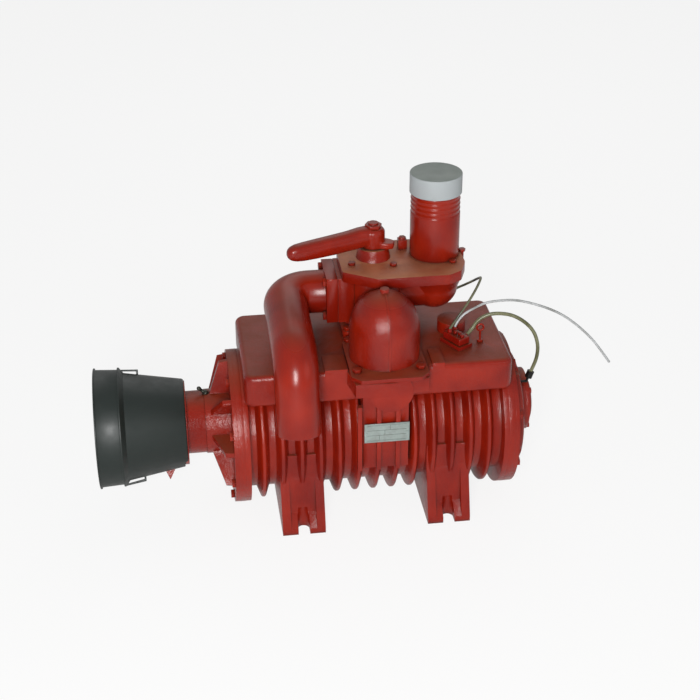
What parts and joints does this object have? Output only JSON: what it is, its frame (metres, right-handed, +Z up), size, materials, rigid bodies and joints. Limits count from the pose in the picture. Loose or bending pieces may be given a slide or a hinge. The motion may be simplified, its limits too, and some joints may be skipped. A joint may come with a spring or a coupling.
{
  "type": "vane vacuum pump",
  "caption": "Rotary vane vacuum pump with ribbed casing, oil tank, reversing valve, check valve and guarded splined shaft.",
  "frame": {"origin": "on the plane of the feet's undersides, midway between the two feet and below the barrel's axis", "axes": "+X along the shaft from the drive end to the rear cover, +Y to the back, +Z up; -Y is the check valve's side"},
  "size_m": [0.8517, 0.3377, 0.546],
  "materials": {
    "enamel": "glossy red enamel brushed and sprayed over castings",
    "gasket_paper": "pressed fibre sheet",
    "bearing_steel": "ground bearing steel",
    "cage_brass": "machined brass",
    "shaft_steel": "turned and oiled steel",
    "rotor_iron": "machined cast iron",
    "vane_resin": "fibre laminate",
    "seal_rubber": "moulded nitrile rubber",
    "guard_plastic": "moulded dark grey-green plastic",
    "cap_plastic": "moulded pale grey plastic",
    "plate_aluminium": "thin dull aluminium sheet, bare",
    "tube_black": "extruded black tube",
    "tube_grey": "extruded grey tube",
    "tube_olive": "extruded olive tube, clouded with oil"
  },
  "bodies": {
    "casing": {"housing": "enamel", "front_cover": "enamel", "rear_cover": "enamel", "cover_gaskets": "gasket_paper", "cover_bolts": "enamel", "front_bearing_outer_ring": "bearing_steel", "rear_bearing_outer_ring": "bearing_steel", "rear_bearing_cap": "enamel", "bearing_cap_bolts": "enamel", "bracket_bolts": "enamel", "shaft_seal": "seal_rubber", "guard_bracket": "enamel", "pto_guard": "guard_plastic", "guard_screws": "shaft_steel", "grease_nipple": "shaft_steel", "valve_body": "enamel", "valve_gaskets": "gasket_paper", "flange_bolts": "enamel", "valve_top_plate": "enamel", "valve_top_bolts": "enamel", "hose_spigot": "enamel", "stop_lug": "enamel", "outlet_elbow": "enamel", "check_valve_dome": "enamel", "ball_seat": "shaft_steel", "lubricator": "enamel", "oil_fittings": "enamel", "oil_tube_a": "tube_black", "oil_tube_b": "tube_grey", "oil_tube_c": "tube_olive", "rear_oil_fitting": "tube_black", "nameplate": "plate_aluminium", "nameplate_rivets": "plate_aluminium", "drain_plug": "enamel"},
    "rotor": {"drive_shaft": "shaft_steel", "rotor_core": "rotor_iron", "vane_1": "vane_resin", "vane_2": "vane_resin", "vane_3": "vane_resin", "vane_4": "vane_resin", "vane_5": "vane_resin", "vane_6": "vane_resin", "vane_7": "vane_resin", "front_bearing_inner_ring": "bearing_steel", "rear_bearing_inner_ring": "bearing_steel"},
    "front_cage": {"front_bearing_cage": "cage_brass", "front_bearing_rollers": "bearing_steel"},
    "rear_cage": {"rear_bearing_cage": "cage_brass", "rear_bearing_rollers": "bearing_steel"},
    "lever": {"flow_diverter": "shaft_steel", "reversing_lever": "enamel", "lever_nut": "enamel"},
    "ball": {"check_ball": "seal_rubber"},
    "cap": {"spigot_cap": "cap_plastic"},
    "dipstick": {"dipstick": "enamel"},
    "drip_1": {"drip_screw_1": "enamel"},
    "drip_2": {"drip_screw_2": "enamel"},
    "drip_3": {"drip_screw_3": "enamel"}
  },
  "joints": [
    {"name": "rotor_spin", "type": "hinge", "parent": "casing", "child": "rotor", "pos_m": [0, 0, 0.148], "axis": [1, 0, 0], "continuous": true},
    {"name": "front_cage_spin", "type": "hinge", "parent": "casing", "child": "front_cage", "pos_m": [-0.2515, 0, 0.148], "axis": [1, 0, 0], "continuous": true},
    {"name": "rear_cage_spin", "type": "hinge", "parent": "casing", "child": "rear_cage", "pos_m": [0.2465, 0, 0.148], "axis": [1, 0, 0], "continuous": true},
    {"name": "lever_turn", "type": "hinge", "parent": "casing", "child": "lever", "pos_m": [0.0185, 0.048, 0.425], "axis": [0, 0, 1], "range_deg": [0, 90]},
    {"name": "ball_lift", "type": "slide", "parent": "casing", "child": "ball", "axis": [0, 0, 1], "range_m": [0, 0.02]},
    {"name": "cap_pull", "type": "slide", "parent": "casing", "child": "cap", "axis": [0, 0, 1], "range_m": [0, 0.06]},
    {"name": "dipstick_pull", "type": "slide", "parent": "casing", "child": "dipstick", "axis": [0, 0, 1], "range_m": [0, 0.06]},
    {"name": "drip_screw_1_turn", "type": "hinge", "parent": "casing", "child": "drip_1", "pos_m": [0.14713, -0.05649, 0.303], "axis": [0, 0, 1], "range_deg": [0, 270]},
    {"name": "drip_screw_2_turn", "type": "hinge", "parent": "casing", "child": "drip_2", "pos_m": [0.14487, -0.04856, 0.303], "axis": [0, 0, 1], "range_deg": [0, 270]},
    {"name": "drip_screw_3_turn", "type": "hinge", "parent": "casing", "child": "drip_3", "pos_m": [0.13913, -0.04263, 0.303], "axis": [0, 0, 1], "range_deg": [0, 270]}
  ],
  "couplings": [
    {"joint": "front_cage_spin", "follows": "rotor_spin", "ratio": 0.42105},
    {"joint": "rear_cage_spin", "follows": "rotor_spin", "ratio": 0.42105}
  ]
}
